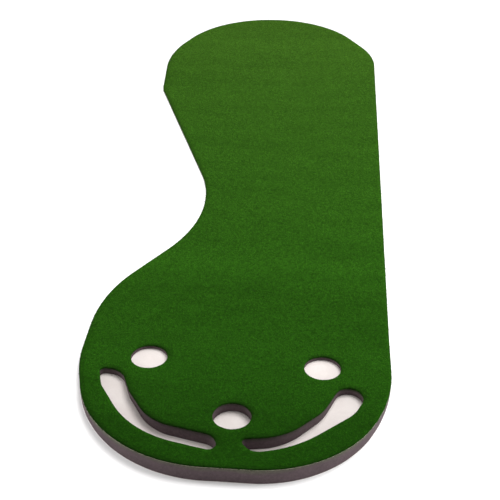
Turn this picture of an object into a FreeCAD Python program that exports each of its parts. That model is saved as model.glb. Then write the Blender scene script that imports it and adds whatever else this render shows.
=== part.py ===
"""Practice putting mat: a kidney-shaped sheet of artificial turf, raised on a foam ramp at its cup end.

Frame: millimetres, +Z up. The origin lies on the floor under the middle of the mat's box. +Y runs along
the mat, from the cup end to the far end, and +X points to its straight side.

Every layer is die cut to the same outline. The turf is a carpet of three layers, which bends once, where
the ramp starts. A thin foam underlay carries it over its flat length. The ramp foam takes over at a butt
joint and lifts it towards the cup end, on a white liner that is the floor of the cups and sand traps.
"""
import FreeCAD, Part
import math
import os
import Sketcher

# Driving dimensions that have one value each, in millimetres and degrees.
SIZES = [
    ("mat_width", 864),
    ("mat_length", 2743),
    ("pile_height", 3.0),
    ("backing_thickness", 0.5),
    ("latex_thickness", 0.5),
    ("underlay_thickness", 3.0),
    ("ramp_start", -818),
    ("ramp_angle", 4.6),
    ("ramp_bend_radius", 800),
    ("foam_joint", -780),
    ("bond_film_thickness", 0.2),
    ("liner_thickness", 1.0),
    ("cup_diameter", 102),
    ("cutting_margin", 40),
]

RIGHT_SIDE = "sizes.mat_width / 2"
FAR_END = "sizes.mat_length / 2"
CUP_END = "-sizes.mat_length / 2"

# Corners of the mat's outline, anticlockwise from the cup end of the straight side: name, x, y and the
# radius of the arc that rounds the corner. A text entry is a formula of the sizes.
MAT_CORNERS = [
    ("side_cup_end", RIGHT_SIDE, -1083, 477),
    ("cup_end_right", 282, CUP_END, 337),
    ("cup_end_left", -322, CUP_END, 365),
    ("cup_lobe_low", -420, -988, 490),
    ("cup_lobe_high", -420, -687, 470),
    ("waist", -105, -225, 509),
    ("far_lobe_low", -420, 650, 153),
    ("far_lobe_high", -438.7, 983, 500),
    ("far_end_left", -247, FAR_END, 405),
    ("far_end_right", 221, FAR_END, 380),
    ("side_far_end", RIGHT_SIDE, 1033, 330),
]

# Corners of the two sand traps, in the same form. Each trap is a curved slot, wider at its outer end.
LEFT_TRAP_CORNERS = [
    ("left_trap_outer_tip", -358, -1015, 14),
    ("left_trap_outer_end", -294, -1016, 58),
    ("left_trap_neck", -260, -1104, 23),
    ("left_trap_inside_bend", -190, -1217, 144),
    ("left_trap_inner_end", -19, -1258, 43),
    ("left_trap_inner_tip", -3, -1319, 21),
    ("left_trap_outside_bend", -232, -1263, 282),
    ("left_trap_shoulder", -339, -1086, 78),
]
RIGHT_TRAP_CORNERS = [
    ("right_trap_outer_tip", 366, -1070, 41),
    ("right_trap_outer_end", 299, -1028, 36),
    ("right_trap_neck", 250, -1144, 162),
    ("right_trap_inside_bend", 155, -1248, 168),
    ("right_trap_inner_end", 40, -1266, 13),
    ("right_trap_inner_tip", 73, -1314, 42),
    ("right_trap_outside_bend", 181, -1289, 305),
    ("right_trap_shoulder", 331, -1149, 115),
]
TRAPS = [LEFT_TRAP_CORNERS, RIGHT_TRAP_CORNERS]

# Centres of the cups: name, x and y.
CUPS = [
    ("left_cup", -230, -956),
    ("right_cup", 246, -965),
    ("centre_cup", 18, -1182),
]

# Heights of the carpet layers' faces, above the floor where the mat is flat and square to it on the ramp.
UNDERLAY_TOP = "sizes.underlay_thickness"
LATEX_TOP = f"({UNDERLAY_TOP} + sizes.latex_thickness)"
BACKING_TOP = f"({LATEX_TOP} + sizes.backing_thickness)"
PILE_TOP = f"({BACKING_TOP} + sizes.pile_height)"
RAMP_FOAM_TOP = f"({UNDERLAY_TOP} - sizes.bond_film_thickness)"

# Heights above the floor of the flat faces under the ramp.
FLOOR = "0"
LINER_TOP = "sizes.liner_thickness"
RAMP_FOAM_BOTTOM = f"({LINER_TOP} + sizes.bond_film_thickness)"

RAMP_TURN = "sizes.ramp_angle * 1 deg"
FOAM_JOINT = "sizes.foam_joint"
BEYOND_FAR_END = "(sizes.mat_length / 2 + sizes.cutting_margin)"
BEYOND_CUP_END = "-(sizes.mat_length / 2 + sizes.cutting_margin)"
BEYOND_SIDE = "(sizes.mat_width / 2 + sizes.cutting_margin)"

START, END, CENTRE = 1, 2, 3
ORIGIN = -1
EXPECTED_LAYERS = 8


def fill_sheet(doc):
    """Write the driving dimensions into the document's spreadsheet, one alias a row."""
    rows = list(SIZES)
    for name, x, y, radius in MAT_CORNERS + LEFT_TRAP_CORNERS + RIGHT_TRAP_CORNERS:
        rows += [(f"{name}_x", x), (f"{name}_y", y), (f"{name}_radius", radius)]
    for name, x, y in CUPS:
        rows += [(f"{name}_x", x), (f"{name}_y", y)]
    sheet = doc.addObject("Spreadsheet::Sheet", "sizes")
    numbers = [(alias, value) for alias, value in rows if not isinstance(value, str)]
    for row, (alias, value) in enumerate(numbers, start=1):
        sheet.set(f"A{row}", alias)
        sheet.set(f"B{row}", str(value))
        sheet.setAlias(f"B{row}", alias)
    doc.recompute()
    return sheet


def corner_formulas(corners):
    """Formulas of x, y and radius for each named corner."""
    formulas = []
    for name, x, y, _ in corners:
        x_formula = x if isinstance(x, str) else f"sizes.{name}_x"
        y_formula = y if isinstance(y, str) else f"sizes.{name}_y"
        formulas.append((x_formula, y_formula, f"sizes.{name}_radius"))
    return formulas


def number(sketch, formula):
    """The value of a formula, as a plain number."""
    value = sketch.evalExpression(formula)
    return float(getattr(value, "Value", value))


def tie_point(sketch, geometry, position, x_formula, y_formula):
    """Hold a point at the place that two formulas give."""
    for kind, formula in (("DistanceX", x_formula), ("DistanceY", y_formula)):
        distance = Sketcher.Constraint(kind, ORIGIN, START, geometry, position, number(sketch, formula))
        index = sketch.addConstraint(distance)
        sketch.setExpression(f"Constraints[{index}]", formula)


def tie_radius(sketch, geometry, formula):
    """Hold the radius of an arc or a circle at the value of a formula."""
    index = sketch.addConstraint(Sketcher.Constraint("Radius", geometry, number(sketch, formula)))
    sketch.setExpression(f"Constraints[{index}]", formula)


def rounding(before, corner, after, radius):
    """Ends and centre of the arc that rounds a corner, and whether the outline turns left there."""
    back = (before - corner).normalize()
    ahead = (after - corner).normalize()
    half = back.getAngle(ahead) / 2
    reach = radius / math.tan(half)
    centre = corner + (back + ahead).normalize() * (radius / math.sin(half))
    turns_left = ahead.cross(back).z > 0
    return corner + back * reach, corner + ahead * reach, centre, turns_left


def draw_outline(sketch, corners):
    """Draw a closed outline: straight sides, joined at each corner by a tangent arc or a sharp point."""
    points = [FreeCAD.Vector(number(sketch, x), number(sketch, y), 0) for x, y, _ in corners]
    count = len(corners)
    arrivals, departures, arcs = [], [], []
    for i, (_, _, radius_formula) in enumerate(corners):
        if radius_formula is None:
            arrivals.append(points[i])
            departures.append(points[i])
            arcs.append(None)
            continue
        radius = number(sketch, radius_formula)
        arrive, depart, centre, left = rounding(points[i - 1], points[i], points[(i + 1) % count], radius)
        arrivals.append(arrive)
        departures.append(depart)
        arcs.append((centre, radius, left))

    sides = []
    for i in range(count):
        side = Part.LineSegment(departures[i], arrivals[(i + 1) % count])
        sides.append(sketch.addGeometry(side, False))

    for i, (x_formula, y_formula, radius_formula) in enumerate(corners):
        side_in, side_out = sides[i - 1], sides[i]
        if arcs[i] is None:
            sketch.addConstraint(Sketcher.Constraint("Coincident", side_in, END, side_out, START))
            tie_point(sketch, side_out, START, x_formula, y_formula)
            continue
        centre, radius, left = arcs[i]
        first, last = (arrivals[i], departures[i]) if left else (departures[i], arrivals[i])
        circle = Part.Circle(centre, FreeCAD.Vector(0, 0, 1), radius)
        angles = [math.atan2(p.y - centre.y, p.x - centre.x) for p in (first, last)]
        arc = sketch.addGeometry(Part.ArcOfCircle(circle, *angles), False)
        arc_in, arc_out = (START, END) if left else (END, START)
        sketch.addConstraint(Sketcher.Constraint("Tangent", side_in, END, arc, arc_in))
        sketch.addConstraint(Sketcher.Constraint("Tangent", arc, arc_out, side_out, START))
        tie_radius(sketch, arc, radius_formula)
        point = sketch.addGeometry(Part.Point(points[i]), True)
        sketch.addConstraint(Sketcher.Constraint("PointOnObject", point, START, side_in))
        sketch.addConstraint(Sketcher.Constraint("PointOnObject", point, START, side_out))
        tie_point(sketch, point, START, x_formula, y_formula)


def draw_cup(sketch, name):
    """Draw the circle of one cup."""
    x_formula, y_formula = f"sizes.{name}_x", f"sizes.{name}_y"
    radius_formula = "sizes.cup_diameter / 2"
    centre = FreeCAD.Vector(number(sketch, x_formula), number(sketch, y_formula), 0)
    circle = Part.Circle(centre, FreeCAD.Vector(0, 0, 1), number(sketch, radius_formula))
    geometry = sketch.addGeometry(circle, False)
    tie_radius(sketch, geometry, radius_formula)
    tie_point(sketch, geometry, CENTRE, x_formula, y_formula)


def new_sketch(body, name, role):
    """A sketch on one of the body's own origin planes."""
    sketch = body.newObject("Sketcher::SketchObject", f"{body.Name}_{name}")
    plane = next(item for item in body.Origin.OriginFeatures if item.Role == role)
    sketch.AttachmentSupport = [(plane, "")]
    sketch.MapMode = "FlatFace"
    return sketch


def pocket_through(body, sketch, name):
    """Cut the sketch through the whole body, up and down."""
    body.Document.recompute()
    volume_before = body.Shape.Volume
    pocket = body.newObject("PartDesign::Pocket", f"{body.Name}_{name}")
    pocket.Profile = sketch
    pocket.Type = "ThroughAll"
    pocket.SideType = "Symmetric"
    body.Document.recompute()
    if body.Shape.isNull() or not body.Shape.Volume < volume_before:
        raise RuntimeError(f"{pocket.Name} cuts nothing")


def slab(doc, name, side_corners):
    """A body padded across the mat from a side view, wider than the mat all round."""
    body = doc.addObject("PartDesign::Body", name)
    body.Label = name
    sketch = new_sketch(body, "side_view", "YZ_Plane")
    draw_outline(sketch, side_corners)
    pad = body.newObject("PartDesign::Pad", f"{name}_slab")
    pad.Profile = sketch
    pad.SideType = "Symmetric"
    pad.setExpression("Length", f"2 * {BEYOND_SIDE}")
    return body


def trim_to_outline(body):
    """Cut away what lies outside the mat's outline."""
    sketch = new_sketch(body, "outline", "XY_Plane")
    frame = [
        (f"2 * {BEYOND_SIDE}", f"2 * {BEYOND_CUP_END}", None),
        (f"2 * {BEYOND_SIDE}", f"2 * {BEYOND_FAR_END}", None),
        (f"-2 * {BEYOND_SIDE}", f"2 * {BEYOND_FAR_END}", None),
        (f"-2 * {BEYOND_SIDE}", f"2 * {BEYOND_CUP_END}", None),
    ]
    draw_outline(sketch, frame)
    draw_outline(sketch, corner_formulas(MAT_CORNERS))
    pocket_through(body, sketch, "trim")


def cut_cups_and_traps(body):
    """Cut the cups and the sand traps through the layer."""
    sketch = new_sketch(body, "openings", "XY_Plane")
    for name, _, _ in CUPS:
        draw_cup(sketch, name)
    for corners in TRAPS:
        draw_outline(sketch, corner_formulas(corners))
    pocket_through(body, sketch, "cups_and_traps")


def bent_edge(height, far_end):
    """Side view of a face that lies flat from its far end and bends once to climb the ramp."""
    bend_y = f"sizes.ramp_start + {height} * tan({RAMP_TURN} / 2)"
    bend_radius = f"sizes.ramp_bend_radius - {height}"
    climb = f"(sizes.ramp_start - {BEYOND_CUP_END}) * tan({RAMP_TURN}) + {height} / cos({RAMP_TURN})"
    return [(far_end, height, None), (bend_y, height, bend_radius), (BEYOND_CUP_END, climb, None)]


def flat_edge(height, far_end, cup_end):
    """Side view of a level face."""
    return [(far_end, height, None), (cup_end, height, None)]


def layer(doc, name, top_edge, bottom_edge, has_openings):
    """One die-cut layer between two faces that are given in side view, each from its far end."""
    body = slab(doc, name, top_edge + bottom_edge[::-1])
    trim_to_outline(body)
    if has_openings:
        cut_cups_and_traps(body)
    return body


def carpet_layer(doc, name, bottom, top):
    """One layer of the turf carpet, over the whole length of the mat."""
    return layer(doc, name, bent_edge(top, BEYOND_FAR_END), bent_edge(bottom, BEYOND_FAR_END), True)


def foam_underlay(doc):
    """Thin foam under the flat length of the turf, which grips the floor."""
    top_edge = flat_edge(UNDERLAY_TOP, BEYOND_FAR_END, FOAM_JOINT)
    bottom_edge = flat_edge(FLOOR, BEYOND_FAR_END, FOAM_JOINT)
    return layer(doc, "foam_underlay", top_edge, bottom_edge, False)


def ramp_bond_film(doc):
    """Film of adhesive between the turf and the ramp foam."""
    top_edge = bent_edge(UNDERLAY_TOP, FOAM_JOINT)
    bottom_edge = bent_edge(RAMP_FOAM_TOP, FOAM_JOINT)
    return layer(doc, "ramp_bond_film", top_edge, bottom_edge, True)


def ramp_foam(doc):
    """Foam wedge that lifts the cup end. Its toe is as high as the underlay that it butts against."""
    top_edge = bent_edge(RAMP_FOAM_TOP, FOAM_JOINT)
    bottom_edge = flat_edge(RAMP_FOAM_BOTTOM, FOAM_JOINT, BEYOND_CUP_END)
    return layer(doc, "ramp_foam", top_edge, bottom_edge, True)


def liner_bond_film(doc):
    """Film of adhesive under the ramp foam, cut with it so that the cup floors are clean."""
    top_edge = flat_edge(RAMP_FOAM_BOTTOM, FOAM_JOINT, BEYOND_CUP_END)
    bottom_edge = flat_edge(LINER_TOP, FOAM_JOINT, BEYOND_CUP_END)
    return layer(doc, "liner_bond_film", top_edge, bottom_edge, True)


def base_liner(doc):
    """White sheet under the ramp: whole, so that it is the floor of every cup and trap."""
    top_edge = flat_edge(LINER_TOP, FOAM_JOINT, BEYOND_CUP_END)
    bottom_edge = flat_edge(FLOOR, FOAM_JOINT, BEYOND_CUP_END)
    return layer(doc, "base_liner", top_edge, bottom_edge, False)


def check(doc, bodies):
    """Stop if any object failed or any layer isn't one valid solid."""
    for item in doc.Objects:
        if "Invalid" in item.State or "Error" in item.State:
            raise RuntimeError(f"{item.Name} is {item.State}")
    if len(bodies) != EXPECTED_LAYERS:
        raise RuntimeError("a layer is missing")
    for body in bodies:
        shape = body.Shape
        if shape.isNull() or not shape.isValid() or len(shape.Solids) != 1:
            raise RuntimeError(f"{body.Label} isn't one valid solid")


def report(bodies):
    """Print each layer's volume and box."""
    for body in bodies:
        box = body.Shape.BoundBox
        low = f"{box.XMin:.1f} {box.YMin:.1f} {box.ZMin:.2f}"
        high = f"{box.XMax:.1f} {box.YMax:.1f} {box.ZMax:.2f}"
        print(f"{body.Label}: {body.Shape.Volume / 1000:.1f} cm3, from {low} to {high}")


def main():
    doc = FreeCAD.newDocument("putting_mat")
    fill_sheet(doc)
    bodies = [
        carpet_layer(doc, "pile_face", BACKING_TOP, PILE_TOP),
        carpet_layer(doc, "primary_backing", LATEX_TOP, BACKING_TOP),
        carpet_layer(doc, "latex_precoat", UNDERLAY_TOP, LATEX_TOP),
        foam_underlay(doc),
        ramp_bond_film(doc),
        ramp_foam(doc),
        liner_bond_film(doc),
        base_liner(doc),
    ]
    doc.recompute()
    check(doc, bodies)
    report(bodies)
    os.makedirs("parts", exist_ok=True)
    for body in bodies:
        body.Shape.exportStep(f"parts/{body.Label}.step")


main()
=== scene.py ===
"""Looks of the practice putting mat: turf, its backings, the foam ramp, the liner, and a plain pale studio.

Every layer of the mat has one outline, so each piece here is built from that outline, as the frame's own
meshes give it, and from the heights of its CAD layer. Lengths are in metres, in the frame's axes.
"""
import itertools
import math

import bpy
import numpy as np
from mathutils import Matrix, Vector, geometry, kdtree


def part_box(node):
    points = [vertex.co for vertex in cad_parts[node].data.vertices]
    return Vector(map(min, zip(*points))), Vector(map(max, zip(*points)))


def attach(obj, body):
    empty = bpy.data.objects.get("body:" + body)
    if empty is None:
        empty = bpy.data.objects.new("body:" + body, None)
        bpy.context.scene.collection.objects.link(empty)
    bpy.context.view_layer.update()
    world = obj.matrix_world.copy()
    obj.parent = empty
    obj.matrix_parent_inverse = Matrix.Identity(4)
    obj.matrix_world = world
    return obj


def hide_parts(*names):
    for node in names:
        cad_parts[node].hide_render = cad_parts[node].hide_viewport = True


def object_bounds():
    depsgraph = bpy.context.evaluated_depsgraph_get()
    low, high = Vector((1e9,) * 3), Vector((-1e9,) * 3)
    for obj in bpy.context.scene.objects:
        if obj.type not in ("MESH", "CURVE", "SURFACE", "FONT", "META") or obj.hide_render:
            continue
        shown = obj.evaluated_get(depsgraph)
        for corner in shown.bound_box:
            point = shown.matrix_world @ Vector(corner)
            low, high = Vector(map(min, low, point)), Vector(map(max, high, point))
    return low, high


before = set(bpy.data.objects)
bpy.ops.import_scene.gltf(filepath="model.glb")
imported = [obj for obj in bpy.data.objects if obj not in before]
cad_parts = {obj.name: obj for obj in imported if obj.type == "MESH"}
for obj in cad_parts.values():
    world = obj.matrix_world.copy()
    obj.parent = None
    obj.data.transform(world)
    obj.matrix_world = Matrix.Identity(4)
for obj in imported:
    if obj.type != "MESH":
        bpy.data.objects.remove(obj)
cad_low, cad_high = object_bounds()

MM = 0.001
UP, DOWN = 1, -1


# ---------------------------------------------------------------------------------------------------------
# Shapes that the frame gives
# ---------------------------------------------------------------------------------------------------------

def faces_towards(node, side):
    """Corners, welded by place, of the triangles of a CAD node that face up or down."""
    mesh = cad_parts[node].data
    corners = np.empty(len(mesh.vertices) * 3)
    mesh.vertices.foreach_get("co", corners)
    corners = corners.reshape(-1, 3)
    facing = [tuple(p.vertices) for p in mesh.polygons if p.normal.z * side > 0.5]
    places, number = np.unique(np.round(corners, 6), axis=0, return_inverse=True)
    return places, number.reshape(-1)[np.array(facing)]


def height_along(node, side):
    """Height of a node's upper or lower face at any y, since every layer is level across the mat."""
    places, triangles = faces_towards(node, side)
    used = places[np.unique(triangles)]
    y, first = np.unique(used[:, 1], return_index=True)
    z = used[first, 2]
    return lambda at: np.interp(at, y, z)


def plan_loops(node):
    """Closed edges of a node's upper face in plan, longest first, with the material on their left."""
    places, triangles = faces_towards(node, UP)
    edges = {(t[k], t[k - 2]) for t in triangles for k in range(3)}
    follow = {a: b for a, b in edges if (b, a) not in edges}
    loops = []
    while follow:
        start, at = follow.popitem()
        loop = [start]
        while at != start:
            loop.append(at)
            at = follow.pop(at)
        loops.append(places[loop][:, :2])
    return sorted(loops, key=lambda loop: -np.ptp(loop, axis=0).sum())


def smoothed(loop, step):
    """The outline whose chords make up a loop, with a point about every step.

    The outline is arcs and straight lines that meet in tangents. So the turn at each corner of the loop is
    half the outline's turn along the chord before it and half of that along the chord after it. That leaves
    one number open, a turn that is added and taken away by turns, and the right one makes most bends alike.
    """
    chord = np.roll(loop, -1, axis=0) - loop
    length = np.hypot(*chord.T)
    heading = np.arctan2(chord[:, 1], chord[:, 0])
    corner = (heading - np.roll(heading, 1) + np.pi) % (2 * np.pi) - np.pi
    turn = np.zeros(len(loop))
    for i in range(1, len(loop)):
        turn[i] = 2 * corner[i] - turn[i - 1]
    sign = np.where(np.arange(len(loop)) % 2, -1.0, 1.0)
    bend, wobble = turn / length, sign / length
    bend_change, wobble_change = bend - np.roll(bend, 1), wobble - np.roll(wobble, 1)
    guesses = bend_change / wobble_change
    costs = [np.abs(bend_change - guess * wobble_change).sum() for guess in guesses]
    turn -= sign * guesses[int(np.argmin(costs))]

    fine = []
    for start, along, angle, size in zip(loop, chord, turn, length):
        share = np.linspace(0, 1, max(2, int(4 * size / step)), endpoint=False)[:, None]
        right = np.array([along[1], -along[0]])
        fine.append(start + share * along + share * (1 - share) * angle / 2 * right)
    return evened(np.vstack(fine), step)


def evened(loop, step):
    """A closed loop with evenly spaced points, about a step apart."""
    closed = np.vstack([loop, loop[:1]])
    run = np.r_[0, np.cumsum(np.hypot(*np.diff(closed, axis=0).T))]
    at = np.linspace(0, run[-1], max(8, round(run[-1] / step)), endpoint=False)
    return np.c_[np.interp(at, run, closed[:, 0]), np.interp(at, run, closed[:, 1])]


def cut_across(loop, y, side, step):
    """The part of the mat's outline above or below a line across the mat, closed along that line."""
    inner = (loop[:, 1] - y) * side > 0
    first = int(np.flatnonzero(inner & ~np.roll(inner, 1))[0])
    loop, inner = np.roll(loop, -first, axis=0), np.roll(inner, -first)
    count = int(np.count_nonzero(inner))
    before, after = loop[-1], loop[count % len(loop)]
    ends = []
    for kept, gone in ((loop[0], before), (loop[count - 1], after)):
        share = (y - kept[1]) / (gone[1] - kept[1])
        ends.append(kept + share * (gone - kept))
    width = np.hypot(*(ends[1] - ends[0]))
    closing = np.linspace(ends[1], ends[0], max(2, round(width / step)) + 1)
    return np.vstack([loop[:count], closing])


def inside(points, loops):
    """Which points lie within the outer loop and outside the other ones."""
    within = np.zeros(len(points), bool)
    for loop in loops:
        after = np.roll(loop, -1, axis=0)
        for (x0, y0), (x1, y1) in zip(loop, after):
            if y0 == y1:
                continue
            crosses = (points[:, 1] < y0) != (points[:, 1] < y1)
            within ^= crosses & (points[:, 0] < x0 + (points[:, 1] - y0) * (x1 - x0) / (y1 - y0))
    return within


# ---------------------------------------------------------------------------------------------------------
# Random relief
# ---------------------------------------------------------------------------------------------------------

def scrambled(cells, seed):
    """A random value from -1 to 1 for each whole-numbered cell."""
    mixed = np.full(len(cells), seed * 1013904223 + 12345, np.uint64)
    for column, prime in zip(cells.astype(np.int64).T, (73856093, 19349663, 83492791)):
        mixed ^= column.astype(np.uint64) * np.uint64(prime)
        mixed = (mixed ^ (mixed >> np.uint64(29))) * np.uint64(0xBF58476D1CE4E5B9)
    mixed ^= mixed >> np.uint64(32)
    return (mixed & np.uint64(0xFFFFFF)).astype(float) / 0x7FFFFF - 1


def lumps(points, size, seed):
    """Smooth random values from -1 to 1, in lumps of about a size, which may differ along each axis."""
    cells = points / np.asarray(size)
    base = np.floor(cells)
    fade = cells - base
    fade = fade * fade * (3 - 2 * fade)
    total = np.zeros(len(points))
    for corner in itertools.product((0, 1), repeat=points.shape[1]):
        weight = np.prod(np.where(corner, fade, 1 - fade), axis=1)
        total += weight * scrambled(base + np.array(corner), seed)
    return total


# ---------------------------------------------------------------------------------------------------------
# Mesh work
# ---------------------------------------------------------------------------------------------------------

def nearest(rim, spots):
    """The number of the rim's point that is nearest to each spot, and how far away that is."""
    tree = kdtree.KDTree(len(rim))
    for i, (x, y) in enumerate(rim):
        tree.insert((x, y, 0), i)
    tree.balance()
    found = [tree.find((x, y, 0))[1:] for x, y in spots]
    number, distance = zip(*found)
    return np.array(number), np.array(distance)


def filled(loops, spacing, seed):
    """Points and triangles that fill a region in plan. The loops' own points come first."""
    rim = np.vstack(loops)
    low, high = rim.min(axis=0), rim.max(axis=0)
    rise = spacing * math.sqrt(3) / 2
    x, y = np.meshgrid(np.arange(low[0], high[0], spacing), np.arange(low[1], high[1], rise))
    x[1::2] += spacing / 2
    scattered = np.c_[x.ravel(), y.ravel()]
    random = np.random.default_rng(seed)
    scattered += random.uniform(-0.22, 0.22, scattered.shape) * spacing
    scattered = scattered[inside(scattered, [loop[::3] for loop in loops])]
    points = np.vstack([rim, scattered[nearest(rim, scattered)[1] > 0.55 * spacing]])

    edges, start = [], 0
    for loop in loops:
        edges += [(start + i, start + (i + 1) % len(loop)) for i in range(len(loop))]
        start += len(loop)
    found = geometry.delaunay_2d_cdt([Vector(p) for p in points], edges, [], 0, 1e-9, False)
    if len(found[0]) != len(points):
        raise RuntimeError("two points of a region are in the same place")
    return points, within_rim([tuple(t) for t in found[2]], set(edges), len(rim))


def within_rim(triangles, rim_edges, rim_count):
    """The triangles that are in the material: all that touch a scattered point, then those that lie on the
    left of a rim's edge or next to one that is kept."""
    kept = [t for t in triangles if max(t) >= rim_count]
    waiting = [t for t in triangles if max(t) < rim_count]
    held = {(t[k - 1], t[k]) for t in kept for k in range(3)}

    def joins(triangle):
        for k in range(3):
            side = (triangle[k - 1], triangle[k])
            if side in rim_edges or (side[::-1] in held and side[::-1] not in rim_edges):
                return True
        return False

    found = True
    while found:
        found = [t for t in waiting if joins(t)]
        waiting = [t for t in waiting if not joins(t)]
        held |= {(t[k - 1], t[k]) for t in found for k in range(3)}
        kept += found
    return np.array(kept)


def outward(loop):
    """Unit vectors that point out of the material along a loop."""
    along = np.roll(loop, -1, axis=0) - np.roll(loop, 1, axis=0)
    along /= np.hypot(*along.T)[:, None]
    return np.c_[along[:, 1], -along[:, 0]]


def keep_values(piece, name, values):
    """Store a number for each point of a piece's mesh, for its material to read."""
    piece.data.attributes.new(name, "FLOAT", "POINT").data.foreach_set("value", values)


def new_piece(name, points, faces, material):
    """A smooth-shaded mesh object that rides on the mat's one body."""
    mesh = bpy.data.meshes.new(name)
    mesh.from_pydata(points.tolist(), [], faces)
    mesh.validate()
    mesh.shade_smooth()
    mesh.materials.append(material)
    piece = bpy.data.objects.new(name, mesh)
    bpy.context.scene.collection.objects.link(piece)
    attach(piece, "root")
    return piece


def no_relief(points):
    return np.zeros(len(points))


class Layer:
    """A layer between a CAD node's faces as one closed mesh: two faces, and walls made of rows of points.

    The mesh keeps each point's depth, from 0 on its upper face to 1 on its lower one, and which points are
    on the wall of an opening.
    """

    def __init__(self, node, loops, spacing, under_spacing, shares, seed):
        self.loops = loops
        self.upper, self.lower = height_along(node, UP), height_along(node, DOWN)
        self.spacing, self.under_spacing = spacing, under_spacing
        self.shares, self.seed = shares, seed

    def build(self, name, material, wall, above=no_relief, below=no_relief, lip=None):
        """wall(points, share, height) says how far a row stands out. The others give the relief of the upper
        face, of the lower face, and of the upper face's rim where that differs."""
        rim = np.vstack(self.loops)
        normals = np.vstack([outward(loop) for loop in self.loops])
        top = self.upper(rim[:, 1]) + (lip or above)(rim)
        bottom = self.lower(rim[:, 1]) + below(rim)
        rows = []
        for share in self.shares:
            z = top + share * (bottom - top)
            stand = wall(np.c_[rim, z], share, top - bottom)
            rows.append(np.c_[rim + normals * stand[:, None], z])
        count = len(rim)

        over, over_triangles = filled(self.loops, self.spacing, self.seed)
        under, under_triangles = filled(self.loops, self.under_spacing, self.seed + 1)
        over, under = over[count:], under[count:]
        points = rows + [
            np.c_[over, self.upper(over[:, 1]) + above(over)],
            np.c_[under, self.lower(under[:, 1]) + below(under)],
        ]
        last = (len(rows) - 1) * count
        over_triangles = np.where(over_triangles < count, over_triangles, over_triangles + last)
        shift = np.where(under_triangles < count, last, last + len(over))
        under_triangles = (under_triangles + shift)[:, ::-1]
        faces = over_triangles.tolist() + under_triangles.tolist()
        start = 0
        for loop in self.loops:
            size = len(loop)
            for row in range(len(rows) - 1):
                a, b = row * count + start, (row + 1) * count + start
                faces += [
                    (a + i, b + i, b + (i + 1) % size, a + (i + 1) % size) for i in range(size)
                ]
            start += size
        piece = new_piece(name, np.vstack(points), faces, material)
        depth = np.r_[np.repeat(self.shares, count), np.zeros(len(over)), np.ones(len(under))]
        keep_values(piece, "depth", depth)
        in_opening = np.zeros(len(depth))
        in_opening[:len(rows) * count] = np.tile(np.arange(count) >= len(self.loops[0]), len(rows))
        keep_values(piece, "in_opening", in_opening)
        return piece


# ---------------------------------------------------------------------------------------------------------
# Materials
# ---------------------------------------------------------------------------------------------------------

def linear(red, green, blue):
    """A display colour, from 0 to 255, as the light it stands for."""
    shares = [c / 255 for c in (red, green, blue)]
    return [c / 12.92 if c <= 0.04045 else ((c + 0.055) / 1.055) ** 2.4 for c in shares] + [1.0]


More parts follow.
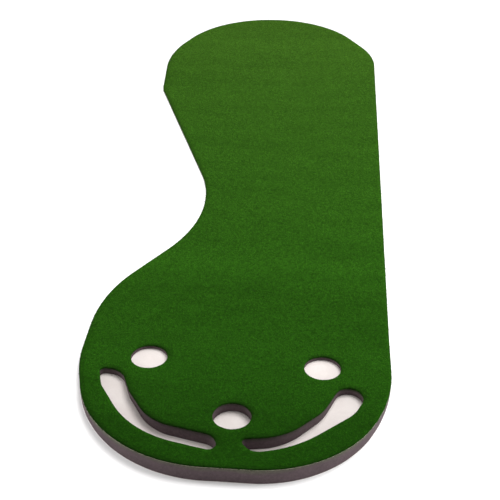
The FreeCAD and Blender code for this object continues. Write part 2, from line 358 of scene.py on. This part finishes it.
class Paint:
    """A material that is built node by node around one Principled shader."""

    def __init__(self, name, **constants):
        self.material = bpy.data.materials.new(name)
        self.material.use_nodes = True
        self.tree = self.material.node_tree
        self.shader = self.tree.nodes["Principled BSDF"]
        for socket, value in constants.items():
            self.shader.inputs[socket.replace("_", " ")].default_value = value
        self.place = self.tree.nodes.new("ShaderNodeTexCoord").outputs["Object"]

    def put(self, socket, value):
        """Give an input a value, or link it to another node's output."""
        if isinstance(value, bpy.types.NodeSocket):
            self.tree.links.new(value, socket)
        else:
            socket.default_value = value

    def node(self, kind, inputs, **settings):
        made = self.tree.nodes.new(kind)
        for setting, value in settings.items():
            setattr(made, setting, value)
        for name, value in inputs.items():
            self.put(made.inputs[name], value)
        return made

    def stretched(self, x, y, z):
        """The place on the piece, in units of x, y and z."""
        scale = (1 / x, 1 / y, 1 / z)
        return self.node("ShaderNodeMapping", {"Vector": self.place, "Scale": scale}).outputs["Vector"]

    def along(self, axis):
        """The place along one axis."""
        return self.node("ShaderNodeSeparateXYZ", {"Vector": self.place}).outputs[axis]

    def noise(self, place, scale=1.0, detail=2.0, roughness=0.5):
        inputs = {"Vector": place, "Scale": scale, "Detail": detail, "Roughness": roughness}
        return self.node("ShaderNodeTexNoise", inputs).outputs["Fac"]

    def cells(self, place, scale=1.0, feature="F1"):
        inputs = {"Vector": place, "Scale": scale}
        return self.node("ShaderNodeTexVoronoi", inputs, feature=feature).outputs["Distance"]

    def waves(self, place, direction, scale):
        inputs = {"Vector": place, "Scale": scale}
        node = self.node("ShaderNodeTexWave", inputs, bands_direction=direction)
        return node.outputs["Fac"]

    def math(self, operation, first, second=0.0):
        made = self.node("ShaderNodeMath", {0: first, 1: second}, operation=operation)
        return made.outputs["Value"]

    def ranged(self, value, low, high, new_low=0.0, new_high=1.0):
        inputs = {"Value": value, "From Min": low, "From Max": high, "To Min": new_low, "To Max": new_high}
        return self.node("ShaderNodeMapRange", inputs).outputs["Result"]

    def mixed(self, share, first, second, blend_type="MIX"):
        made = self.node("ShaderNodeMix", {}, data_type="RGBA", blend_type=blend_type)
        self.put(made.inputs[0], share)
        self.put(made.inputs[6], first)
        self.put(made.inputs[7], second)
        return made.outputs[2]

    def mixed_value(self, share, first, second):
        """A number between two others."""
        made = self.node("ShaderNodeMix", {}, data_type="FLOAT")
        self.put(made.inputs[0], share)
        self.put(made.inputs[2], first)
        self.put(made.inputs[3], second)
        return made.outputs[0]

    def shaded(self, colour, value):
        """A colour made brighter or darker by a value around 1."""
        made = self.node("ShaderNodeVectorMath", {}, operation="SCALE")
        self.put(made.inputs[0], colour if isinstance(colour, bpy.types.NodeSocket) else colour[:3])
        self.put(made.inputs["Scale"], value)
        return made.outputs["Vector"]

    def painted_shade_in_openings(self, colour):
        """The colour with painted shade on the walls of the cups and traps."""
        return self.mixed(self.kept("in_opening"), colour, self.shaded(colour, OPENING_SHADE))

    def curve(self, value, points):
        """A value from 0 to 1 led through a smooth curve of (value, result) points."""
        made = self.node("ShaderNodeValToRGB", {"Fac": value})
        made.color_ramp.interpolation = "EASE"
        stops = made.color_ramp.elements
        while len(stops) < len(points):
            stops.new(1.0)
        for stop, (at, result) in zip(stops, points):
            stop.position = at
            stop.color = (result, result, result, 1.0)
        return made.outputs["Color"]

    def kept(self, name):
        """A value that the mesh keeps at its points."""
        return self.node("ShaderNodeAttribute", {}, attribute_name=name).outputs["Fac"]

    def finish(self, colour, roughness, height, depth, strength=1.0):
        """Wire up colour, roughness and the fine relief, whose height is in units of depth."""
        self.put(self.shader.inputs["Base Color"], colour)
        self.put(self.shader.inputs["Roughness"], roughness)
        bump = self.node("ShaderNodeBump", {"Height": height, "Distance": depth, "Strength": strength})
        self.put(self.shader.inputs["Normal"], bump.outputs["Normal"])
        return self.material


# Painted shade: the share of its colour that the backing and the latex keep on the walls of the openings,
# and the painted shade of the foam at the top of a wall and below that, darker at the top, on the outer edge
# first and then in the openings.
OPENING_SHADE = 0.3
FOAM_TOP_SHADES, FOAM_LOW_SHADES = (0.9, 0.66), (1.02, 1.14)
FOAM_TOP_REACH = 0.45
# The green band on the foam near the turf: paler as painted light on the outer edge, darker as painted shade
# in the openings.
OUTER_LIT_BAND, OPENING_SHADED_BAND = linear(80, 86, 62), linear(52, 62, 34)


def turf_paint(name, dark, light):
    """Short dense pile: fibres of two greens, painted shade in the gaps between the tufts, clumps, patches
    and roll marks, and painted light and shade along the mat, near cuts and on the pile's cut side.
    """
    paint = Paint(name, Specular_IOR_Level=0.02, Sheen_Weight=0.02, Sheen_Roughness=0.5)
    paint.shader.inputs["Sheen Tint"].default_value = (0.6, 0.9, 0.1, 1.0)
    fibres = paint.noise(paint.place, scale=520, detail=3, roughness=0.75)
    tufts = paint.noise(paint.stretched(0.0052, 0.0060, 0.01), detail=1, roughness=0.6)
    clumps = paint.noise(paint.stretched(0.012, 0.009, 0.02), detail=2, roughness=0.6)
    patches = paint.noise(paint.stretched(0.11, 0.05, 0.1), detail=4, roughness=0.55)
    roll_marks = paint.noise(paint.stretched(0.9, 0.09, 1.0), detail=3, roughness=0.5)

    colour = paint.mixed(paint.ranged(fibres, 0.32, 0.68), dark, light)
    # Painted light and shade along the mat: darker at the cup end, paler with painted sheen at the far end.
    from_cups = paint.ranged(paint.along("Y"), cad_low.y, cad_high.y)
    colour = paint.mixed(1.0, colour, paint.mixed(from_cups, CUP_END_TINT, FAR_END_TINT), "MULTIPLY")
    shade = paint.curve(from_cups, [(at / mat_length, tone) for at, tone in PAINTED_TONES_ALONG_MAT])
    # The tufts' pattern is painted shade in the gaps between them; clumps, patches and roll marks vary the
    # tone.
    for pattern, spread in ((tufts, 0.66), (clumps, 0.3), (patches, 0.16), (roll_marks, 0.1)):
        change = paint.ranged(pattern, 0.25, 0.75, 1 - spread / 2, 1 + spread / 2)
        shade = paint.math("MULTIPLY", shade, change)
    # Painted shade on the pile's cut side and on edge fibres, by their depth.
    shade = paint.math("MULTIPLY", shade, paint.ranged(paint.kept("depth"), 0.0, 0.5, 1.0, 0.35))
    # Painted shade and light near the cuts, by the way each cut faces.
    shade = paint.math("MULTIPLY", shade, paint.math("ADD", paint.kept("tone"), 1.0))
    colour = paint.shaded(colour, shade)
    height = paint.math("ADD", fibres, tufts)
    roughness = paint.ranged(clumps, 0.3, 0.7, 0.82, 0.97)
    return paint.finish(colour, roughness, height, 0.9 * MM, 0.8)


def foam_paint(name, base, pore_scale):
    """Closed-cell foam: fine cells, pores in painted shade, paler patches, a green band near the turf that is
    painted light on the outer edge and painted shade in the openings, and painted shade at the top of its
    walls.
    """
    paint = Paint(name, Specular_IOR_Level=0.25)
    pores = paint.cells(paint.place, scale=pore_scale)
    grain = paint.noise(paint.place, scale=2.2 * pore_scale, detail=3, roughness=0.7)
    patches = paint.noise(paint.place, scale=24, detail=4, roughness=0.6)
    blotches = paint.noise(paint.place, scale=150, detail=2, roughness=0.6)
    stretches = paint.noise(paint.place, scale=7, detail=1, roughness=0.5)
    # Painted shade in the pores, darker towards their pits.
    shade = paint.ranged(pores, 0.05, 0.6, 0.8, 1.08)
    for pattern, spread in ((grain, 0.24), (blotches, 0.3), (patches, 0.22)):
        change = paint.ranged(pattern, 0.3, 0.7, 1 - spread / 2, 1 + spread / 2)
        shade = paint.math("MULTIPLY", shade, change)
    # Painted shade: darker at the top of each wall and lighter below, more so in the openings.
    top_shade = paint.mixed_value(paint.kept("in_opening"), *FOAM_TOP_SHADES)
    fall = paint.ranged(paint.kept("depth"), 0.0, FOAM_TOP_REACH)
    low_shade = paint.mixed_value(paint.kept("in_opening"), *FOAM_LOW_SHADES)
    shade = paint.math("MULTIPLY", shade, paint.mixed_value(fall, top_shade, low_shade))
    height = paint.math("ADD", pores, paint.math("MULTIPLY", grain, 0.5))
    roughness = paint.ranged(grain, 0.3, 0.7, 0.72, 0.92)
    # A green band near the turf, fading down the wall: painted light on the outer edge, painted shade in the
    # openings.
    band_depth = paint.math("ADD", paint.kept("depth"), paint.ranged(stretches, 0.3, 0.7, 0.0, 0.32))
    band_share = paint.ranged(band_depth, 0.04, 0.46, 0.7, 0.0)
    band_green = paint.mixed(paint.kept("in_opening"), OUTER_LIT_BAND, OPENING_SHADED_BAND)
    colour = paint.mixed(band_share, base, band_green)
    return paint.finish(paint.shaded(colour, shade), roughness, height, 0.5 * MM, 0.8)


def liner_paint():
    """White felted liner: short fibres lying every way, faint clouds and slight soiling."""
    paint = Paint("white_felt", Specular_IOR_Level=0.2, Sheen_Weight=0.15, Sheen_Roughness=0.5)
    along = paint.noise(paint.stretched(0.0006, 0.004, 0.001), detail=2)
    across = paint.noise(paint.stretched(0.005, 0.0007, 0.001), detail=2)
    fibres = paint.math("MAXIMUM", along, across)
    clouds = paint.noise(paint.place, scale=14, detail=4, roughness=0.6)
    colour = paint.mixed(paint.ranged(clouds, 0.35, 0.75), linear(218, 211, 207), linear(208, 199, 195))
    colour = paint.shaded(colour, paint.ranged(fibres, 0.4, 0.7, 0.96, 1.02))
    return paint.finish(colour, paint.ranged(fibres, 0.4, 0.7, 0.82, 0.95), fibres, 0.25 * MM, 0.7)


TAPES_SCALE = 70


def weave_paint():
    """Woven backing cloth: flat tapes over and under each other, with green tuft roots showing through."""
    paint = Paint("woven_backing_cloth", Specular_IOR_Level=0.3)
    warp = paint.waves(paint.place, "X", TAPES_SCALE)
    weft = paint.waves(paint.place, "Y", TAPES_SCALE)
    over = paint.math("GREATER_THAN", warp, weft)
    tape = paint.mixed(over, linear(132, 136, 112), linear(152, 156, 132))
    roots = paint.ranged(paint.cells(paint.place, scale=260), 0.1, 0.35, 1.0, 0.0)
    colour = paint.mixed(roots, tape, linear(52, 88, 38))
    # Painted shade on the walls of the openings.
    colour = paint.painted_shade_in_openings(colour)
    height = paint.math("MAXIMUM", warp, weft)
    return paint.finish(colour, paint.ranged(height, 0.0, 1.0, 0.8, 0.6), height, 0.3 * MM)


def rubbery_paint(name, base, pale, bubble_scale):
    """A dried coating: uneven in thickness, with small burst bubbles whose pits are painted darker, as shade.
    """
    paint = Paint(name, Specular_IOR_Level=0.4)
    clouds = paint.noise(paint.place, scale=40, detail=5, roughness=0.6)
    bubbles = paint.cells(paint.place, scale=bubble_scale, feature="SMOOTH_F1")
    colour = paint.mixed(paint.ranged(clouds, 0.3, 0.7), base, pale)
    # Painted shade in the bubbles' pits.
    colour = paint.shaded(colour, paint.ranged(bubbles, 0.0, 0.5, 0.85, 1.05))
    # Painted shade on the walls of the openings.
    colour = paint.painted_shade_in_openings(colour)
    return paint.finish(colour, paint.ranged(clouds, 0.3, 0.7, 0.45, 0.7), bubbles, 0.3 * MM, 0.6)


def floor_paint():
    """Pale studio floor with the faintest mottling."""
    paint = Paint("studio_floor", Specular_IOR_Level=0.0)
    clouds = paint.noise(paint.place, scale=3, detail=3)
    colour = paint.mixed(clouds, (0.92, 0.92, 0.92, 1), (0.94, 0.94, 0.94, 1))
    return paint.finish(colour, 0.9, clouds, 0.1 * MM, 0.05)


# ---------------------------------------------------------------------------------------------------------
# The mat's outlines
# ---------------------------------------------------------------------------------------------------------

EDGE_STEP = 2.0 * MM
FILM_STEP = 5.0 * MM

raw_loops = plan_loops("pile_face")
mat_edge = smoothed(raw_loops[0], EDGE_STEP)
openings = [smoothed(loop, EDGE_STEP) for loop in raw_loops[1:]]
foam_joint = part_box("foam_underlay")[0].y
ramp_edge = cut_across(mat_edge, foam_joint, DOWN, EDGE_STEP)
flat_edge = cut_across(mat_edge, foam_joint, UP, EDGE_STEP)


# ---------------------------------------------------------------------------------------------------------
# Turf: pile, fringe, woven backing and latex
# ---------------------------------------------------------------------------------------------------------

PILE_SPACING = 7.5 * MM
HIDDEN_SPACING = 22 * MM
TUFT_SPACING = 4.1 * MM
TUFT_BANDS = 4
TUFT_SINK = 1.9 * MM
TUFT_WIDTHS, TUFT_RISES = (1.4, 2.3), (1.7, 3.0)
TUFT_LEAN, EDGE_LEAN = 0.7, 1.3

# Painted shade and light near a cut: how far in from a cut the pile's tone changes, the direction that a
# paler, lit cut faces, and the change of tone, painted shade at a cut that faces away from it and painted
# light at one that faces along it.
EDGE_REACH = 18 * MM
LIT_SIDE = (0.45, 0.89)
PAINTED_SHADE_CHANGE, PAINTED_LIGHT_CHANGE = 0.6, 0.16


def pile_waves(points):
    """Low clumps, patches, and long shallow waves."""
    clumps = lumps(points, 17 * MM, 5)
    patches = lumps(points, (90 * MM, 60 * MM), 7)
    waves = lumps(points, (900 * MM, 170 * MM), 11)
    return (0.2 * clumps + 0.2 * patches + 0.4 * waves - 0.4) * MM


def pile_surface(points):
    """The dense foot of the pile, which the tips of the tufts stand above."""
    return pile_waves(points) + (0.2 * scrambled(np.round(points / (0.3 * MM)), 3) - 1.4) * MM


def pile_lip(points):
    """The rim of the pile at a cut, which is full height."""
    return pile_waves(points) + (0.35 + 0.25 * lumps(points, 6 * MM, 15)) * MM


def pile_wall(points, share, height):
    """The cut edge of the pile: rounded over at the top, ragged where single tufts were cut."""
    ragged = 0.35 * lumps(points, 3 * MM, 13) + 0.15 * scrambled(np.round(points / (0.2 * MM)), 17)
    rounding = -0.3 * max(0.0, 1 - 3 * share) ** 2
    return (ragged * (1 - 0.5 * share) + rounding) * MM


def at_edge(spots, loops):
    """How near each spot is to a cut, from 0 well inside to 1 at the edge, and which way is out there."""
    number, distance = nearest(np.vstack(loops), spots)
    out = np.vstack([outward(loop) for loop in loops])[number]
    return np.clip(1 - distance / EDGE_REACH, 0, 1)[:, None], out


def painted_edge_shade(near, out):
    """Painted shade and light near a cut: darker where it faces the cup end, paler where it faces away."""
    facing = (out * LIT_SIDE).sum(axis=1)
    return near[:, 0] * np.where(facing < 0, PAINTED_SHADE_CHANGE, PAINTED_LIGHT_CHANGE) * facing


# The pile's tint at each end and its tone along the mat, painted light and shade: darker and more saturated
# at the cup end, paler at the far end as painted sheen, with lighter and darker bands between. The tones are
# a distance from the cup end, and the tone there.
CUP_END_TINT, FAR_END_TINT = (0.63, 1.0, 0.62, 1.0), (1.3, 1.0, 1.4, 1.0)
PAINTED_TONES_ALONG_MAT = (
    (0.0, 0.60), (0.15, 0.58), (0.27, 0.70), (0.42, 0.80), (0.74, 0.82), (0.83, 0.95), (0.88, 1.00),
    (0.96, 0.93), (1.6, 0.99), (1.9, 1.03), (2.1, 1.10), (2.3, 1.12), (2.42, 1.22), (2.5, 1.28),
    (2.6, 1.2), (2.743, 1.2),
)
mat_length = cad_high.y - cad_low.y
pile_top = height_along("pile_face", UP)
turf_green = turf_paint("turf_fibres", linear(34, 76, 13), linear(67, 114, 28))
# A darker copy of the pile's material, painted shade, for the pile's foot beneath the tufts.
turf_shade = turf_paint("turf_fibres_in_shade", linear(23, 54, 9), linear(45, 85, 18))
turf_loops = [mat_edge] + openings
pile = Layer(
    "pile_face", turf_loops, PILE_SPACING, HIDDEN_SPACING, (0, 0.12, 0.33, 0.66, 1), seed=21,
).build("turf_pile_sheet", turf_shade, pile_wall, above=pile_surface, lip=pile_lip)
sheet_points = np.array([tuple(vertex.co)[:2] for vertex in pile.data.vertices])
# Painted shade and light near the cuts, for the material to read.
keep_values(pile, "tone", painted_edge_shade(*at_edge(sheet_points, turf_loops)))
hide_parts("pile_face")


def tuft_spots(loops, spacing, seed):
    """Scattered places for tufts, all inside the loops, in order of y."""
    low, high = loops[0].min(axis=0), loops[0].max(axis=0)
    rise = spacing * math.sqrt(3) / 2
    x, y = np.meshgrid(np.arange(low[0], high[0], spacing), np.arange(low[1], high[1], rise))
    x[1::2] += spacing / 2
    spots = np.c_[x.ravel(), y.ravel()]
    spots += np.random.default_rng(seed).uniform(-0.3, 0.3, spots.shape) * spacing
    return spots[inside(spots, [loop[::2] for loop in loops])]


def tufts(name, spots, seed):
    """Tufts of pile: bundles of fibres that narrow to a tip, each a closed mesh, leaning every way."""
    random = np.random.default_rng(seed)
    count = len(spots)
    foot = np.c_[spots, pile_top(spots[:, 1]) + pile_waves(spots) - TUFT_SINK]
    turn = random.uniform(0, 2 * np.pi, count)[:, None] + np.arange(3) * 2 * np.pi / 3
    width = random.uniform(*TUFT_WIDTHS, (count, 1, 1)) * MM
    ring = np.stack([np.cos(turn), np.sin(turn), np.zeros_like(turn)], axis=2) * width
    lean = random.normal(0, TUFT_LEAN, (count, 2))
    lean[:, 1] += 0.9 * lumps(spots, (400 * MM, 60 * MM), seed) - 0.4
    near, out = at_edge(spots, turf_loops)
    lean += EDGE_LEAN * near ** 2 * out
    tip = foot + np.c_[lean, random.uniform(*TUFT_RISES, count)] * MM
    points = np.concatenate([foot[:, None] + ring, tip[:, None]], axis=1).reshape(-1, 3)
    tuft = np.array([(2, 1, 0), (0, 1, 3), (1, 2, 3), (2, 0, 3)])
    faces = (tuft + 4 * np.arange(count)[:, None, None]).reshape(-1, 3)
    piece = new_piece(name, points, faces.tolist(), turf_green)
    # Painted shade and light near the cuts, for the material to read.
    keep_values(piece, "tone", np.repeat(painted_edge_shade(near, out), 4))
    return piece


def blades(name, foot, middle, tip, width, out, shade_depths, random):
    """Fibres along a cut edge: bent three-sided blades, each a closed mesh."""
    count = len(foot)
    angles = random.uniform(0, 2 * np.pi, count)[:, None] + np.arange(3) * 2 * np.pi / 3
    ring = width * np.stack([np.cos(angles), np.sin(angles), np.zeros_like(angles)], axis=2)
    points = np.concatenate([foot[:, None] + ring, middle[:, None] + 0.7 * ring, tip[:, None]], axis=1)
    blade = [(2, 1, 0), (0, 1, 4, 3), (1, 2, 5, 4), (2, 0, 3, 5), (3, 4, 6), (4, 5, 6), (5, 3, 6)]
    faces = [tuple(7 * i + k for k in face) for i in range(count) for face in blade]
    piece = new_piece(name, points.reshape(-1, 3), faces, turf_green)
    # Painted shade: the pile's material darkens each fibre by these depths.
    keep_values(piece, "depth", np.tile(np.repeat(shade_depths, (3, 3, 1)), count))
    # Painted shade and light near the cuts, for the material to read.
    keep_values(piece, "tone", np.repeat(painted_edge_shade(np.ones((count, 1)), out), 7))
    return piece


def along_loops(loops, gap):
    """Places a gap apart along the loops, and the way out at each."""
    dense = [evened(loop, gap) for loop in loops]
    return np.vstack(dense), np.vstack([outward(loop) for loop in dense])


def fringe(name, loops, gap, reach, seed):
    """Loose fibres that stand up along cut edges."""
    random = np.random.default_rng(seed)
    roots, out = along_loops(loops, gap)
    count = len(roots)
    along = np.c_[-out[:, 1], out[:, 0]]
    roots = roots - out * random.uniform(0.2, 1.6, (count, 1)) * MM
    z = pile_top(roots[:, 1]) - random.uniform(1.2, 2.4, count) * MM
    foot = np.c_[roots, z]
    lean = random.uniform(0.0, 1.0, (count, 1)) * out + random.normal(0, 0.45, (count, 1)) * along
    lift = random.uniform(1.3, 2.6, count) * MM
    middle = foot + np.c_[0.35 * reach * lean, 0.6 * lift]
    tip = foot + np.c_[reach * lean, lift]
    width = random.uniform(0.25, 0.45, (count, 1, 1)) * MM
    # Painted shade darkens each fibre towards its foot.
    return blades(name, foot, middle, tip, width, out, (0.45, 0.2, 0.0), random)


def hanging_fibres(name, loops, gap, seed):
    """Fibres that hang down over cut edges, in front of the backing."""
    random = np.random.default_rng(seed)
    roots, out = along_loops(loops, gap)
    count = len(roots)
    z = pile_top(roots[:, 1]) - random.uniform(0.6, 1.6, count) * MM
    foot = np.c_[roots - 0.3 * MM * out, z]
    middle = np.c_[roots + random.uniform(0.7, 1.1, (count, 1)) * MM * out, z - 0.8 * MM]
    along = np.c_[-out[:, 1], out[:, 0]] * random.normal(0, 0.5, (count, 1)) * MM
    drop = random.uniform(2.2, 4.6, count) * MM
    tip = np.c_[roots + random.uniform(0.6, 1.2, (count, 1)) * MM * out + along, z - drop]
    width = random.uniform(0.35, 0.6, (count, 1, 1)) * MM
    # Painted shade darkens these fibres all along.
    return blades(name, foot, middle, tip, width, out, (0.2, 0.3, 0.35), random)


edge_fringe = fringe("pile_edge_fringe", [mat_edge], 0.8 * MM, 1.6 * MM, 31)
opening_fringe = fringe("pile_opening_fringe", openings, 0.7 * MM, 1.4 * MM, 33)
pressed_fibres = hanging_fibres("pile_pressed_fibres", openings, 0.55 * MM, 35)
spots = np.array_split(tuft_spots(turf_loops, TUFT_SPACING, 25), TUFT_BANDS)
standing = [tufts(f"pile_tufts_{band}", part, 26 + band) for band, part in enumerate(spots, 1)]


def woven_wall(points, share, height):
    """Cut tape ends of the woven backing, a little proud or short one by one."""
    return 0.35 * MM * scrambled(np.round(points[:, :2] / (1.3 * MM)), 37)


backing = Layer(
    "primary_backing", turf_loops, HIDDEN_SPACING, HIDDEN_SPACING, (0, 0.5, 1), seed=41,
).build("woven_backing_sheet", weave_paint(), woven_wall)
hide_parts("primary_backing")


def poured_wall(points, share, height):
    """Edge of a coating: soft and wavy, pulled in at its top and bottom."""
    return (0.3 * lumps(points[:, :2], 7 * MM, 43) - 0.25 * (2 * share - 1) ** 2) * MM


latex_paint = rubbery_paint("latex_rubber", linear(168, 166, 146), linear(190, 186, 166), 300)
latex = Layer(
    "latex_precoat", turf_loops, HIDDEN_SPACING, HIDDEN_SPACING, (0, 0.33, 0.66, 1), seed=45,
).build("latex_coat", latex_paint, poured_wall)
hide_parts("latex_precoat")


# ---------------------------------------------------------------------------------------------------------
# Foam: underlay and ramp
# ---------------------------------------------------------------------------------------------------------

WALL_ROWS = 18
DIMPLE_PITCH, DIMPLE_DEPTH = 24 * MM, 0.25 * MM


def pores(points, seed):
    """Pits of cut foam cells, a fraction of a millimetre deep, with a few large ones."""
    fine = lumps(points, 2.6 * MM, seed)
    coarse = lumps(points, 5.5 * MM, seed + 1)
    return -(0.22 * np.clip(fine, 0, 1) + 0.5 * np.clip(coarse - 0.55, 0, 1)) * MM


def cut_foam_wall(points, share, height):
    """Edge of the ramp's foam: hollowed a little, with faint lines along it and open cells."""
    hollow = -1.3 * math.sin(math.pi * share) * (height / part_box("ramp_foam")[1].z)
    drag = 0.12 * lumps(points, (60 * MM, 60 * MM, 1.5 * MM), 51)
    slow = 0.35 * lumps(points, 38 * MM, 53)
    return (hollow + drag + slow) * MM + pores(points, 55)


def thin_foam_wall(points, share, height):
    """Edge of the thin underlay."""
    return (0.25 * lumps(points, 4 * MM, 57) - 0.3 * (2 * share - 1) ** 2) * MM


def grip_pattern(points):
    """Small dimples of the underlay's embossed underside."""
    turns = points[:, :2] * 2 * np.pi / DIMPLE_PITCH
    ripple = np.sin(turns[:, 0]) * np.sin(turns[:, 1])
    return DIMPLE_DEPTH * (1 + ripple) / 2


ramp_grey = foam_paint("ramp_foam_cells", linear(74, 62, 65), 520)
underlay_grey = foam_paint("underlay_foam_cells", linear(70, 60, 64), 700)
ramp_loops = [ramp_edge] + openings
wedge = Layer(
    "ramp_foam", ramp_loops, 14 * MM, 14 * MM, np.linspace(0, 1, WALL_ROWS), seed=61,
).build("ramp_foam_wedge", ramp_grey, cut_foam_wall)
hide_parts("ramp_foam")

underlay = Layer(
    "foam_underlay", [flat_edge], HIDDEN_SPACING, 6.5 * MM, (0, 0.25, 0.5, 0.75, 1), seed=65,
).build("underlay_foam_sheet", underlay_grey, thin_foam_wall, below=grip_pattern)
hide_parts("foam_underlay")


# ---------------------------------------------------------------------------------------------------------
# Adhesive films and liner
# ---------------------------------------------------------------------------------------------------------

def film_wall(points, share, height):
    """Edge of an adhesive film, set back from the cut by an uneven amount."""
    return (0.4 * lumps(points[:, :2], 12 * MM, 71) - 0.7) * MM


adhesive_paint = rubbery_paint("dried_adhesive", linear(150, 144, 122), linear(176, 170, 148), 240)
film_loops = [cut_across(evened(mat_edge, FILM_STEP), foam_joint, DOWN, FILM_STEP)]
film_loops += [evened(loop, FILM_STEP) for loop in openings]
for node, name, seed in (("ramp_bond_film", "ramp_adhesive", 73), ("liner_bond_film", "liner_adhesive", 75)):
    film = Layer(
        node, film_loops, HIDDEN_SPACING, HIDDEN_SPACING, (0, 1), seed=seed,
    ).build(name, adhesive_paint, film_wall)
    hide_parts(node)


def felt_surface(points):
    """Slight waves of the liner and the lumps of its felt, never above its CAD face."""
    return (0.2 * lumps(points, 45 * MM, 81) + 0.12 * lumps(points, 9 * MM, 83) - 0.32) * MM


def felt_wall(points, share, height):
    """Cut edge of the liner, slightly fuzzy."""
    return 0.3 * MM * lumps(points, 3 * MM, 85)


liner = Layer(
    "base_liner", [ramp_edge], 4.6 * MM, 16 * MM, (0, 0.5, 1), seed=87,
).build("white_liner_sheet", liner_paint(), felt_wall, above=felt_surface)
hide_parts("base_liner")


# ---------------------------------------------------------------------------------------------------------
# Studio
# ---------------------------------------------------------------------------------------------------------

VIEW_AIM = Vector((0.008, -0.412, 0.0))
VIEW_DISTANCE = 3.274
VIEW_YAW, VIEW_PITCH, VIEW_ROLL = (math.radians(angle) for angle in (-3.832, 35.945, -0.614))
VIEW_LENS = 74.4
FLOOR_SIZE = 60.0
FLOOR_GAP = 0.2 * MM
SKY_TINT, SKY_STRENGTH = (1.0, 0.985, 0.985, 1.0), 0.6

# Each lamp's name, its place, the point that it faces, its size and its power.
SOFTBOXES = (
    ("key_softbox", (0.95, 0.0, 3.6), (0.1, 0.0, 0.0), 2.2, 140),
    ("right_strip", (3.2, -0.9, 0.8), (0.0, -0.8, 0.0), 1.4, 92),
    ("left_strip", (-3.2, -0.9, 0.8), (0.0, -0.8, 0.0), 1.4, 75),
)


def add_camera():
    """A camera that looks down along the mat from its cup end."""
    level = math.cos(VIEW_PITCH)
    ahead = Vector((math.sin(VIEW_YAW) * level, math.cos(VIEW_YAW) * level, -math.sin(VIEW_PITCH)))
    right = Vector((math.cos(VIEW_YAW), -math.sin(VIEW_YAW), 0))
    down = ahead.cross(right)
    turn, tilt = math.cos(VIEW_ROLL), math.sin(VIEW_ROLL)
    right, down = turn * right + tilt * down, turn * down - tilt * right
    data = bpy.data.cameras.new("camera")
    data.lens = VIEW_LENS
    camera = bpy.data.objects.new("camera", data)
    bpy.context.scene.collection.objects.link(camera)
    axes = Matrix((right, -down, -ahead)).transposed().to_4x4()
    camera.matrix_world = Matrix.Translation(VIEW_AIM - VIEW_DISTANCE * ahead) @ axes
    bpy.context.scene.camera = camera


def add_softbox(name, place, aim, size, power):
    """A large square lamp that faces a point."""
    data = bpy.data.lights.new(name, "AREA")
    data.shape, data.size, data.energy = "SQUARE", size, power
    lamp = bpy.data.objects.new(name, data)
    lamp.visible_camera = False
    bpy.context.scene.collection.objects.link(lamp)
    place = Vector(place)
    facing = (place - Vector(aim)).to_track_quat("Z", "Y").to_matrix().to_4x4()
    lamp.matrix_world = Matrix.Translation(place) @ facing


def add_floor():
    """A wide plain floor, just under the mat."""
    half = FLOOR_SIZE / 2
    corners = [(-half, -half, 0), (half, -half, 0), (half, half, 0), (-half, half, 0)]
    mesh = bpy.data.meshes.new("studio_floor")
    mesh.from_pydata([(x, y, cad_low.z - FLOOR_GAP) for x, y, _ in corners], [], [(0, 1, 2, 3)])
    mesh.materials.append(floor_paint())
    floor = bpy.data.objects.new("studio_floor", mesh)
    bpy.context.scene.collection.objects.link(floor)


def add_sky():
    """Even pale light from all round."""
    world = bpy.data.worlds.new("studio_sky")
    bpy.context.scene.world = world
    world.use_nodes = True
    background = world.node_tree.nodes["Background"]
    background.inputs["Color"].default_value = SKY_TINT
    background.inputs["Strength"].default_value = SKY_STRENGTH


add_camera()
add_floor()
add_sky()
for softbox in SOFTBOXES:
    add_softbox(*softbox)
bpy.context.scene.view_settings.view_transform = "Standard"
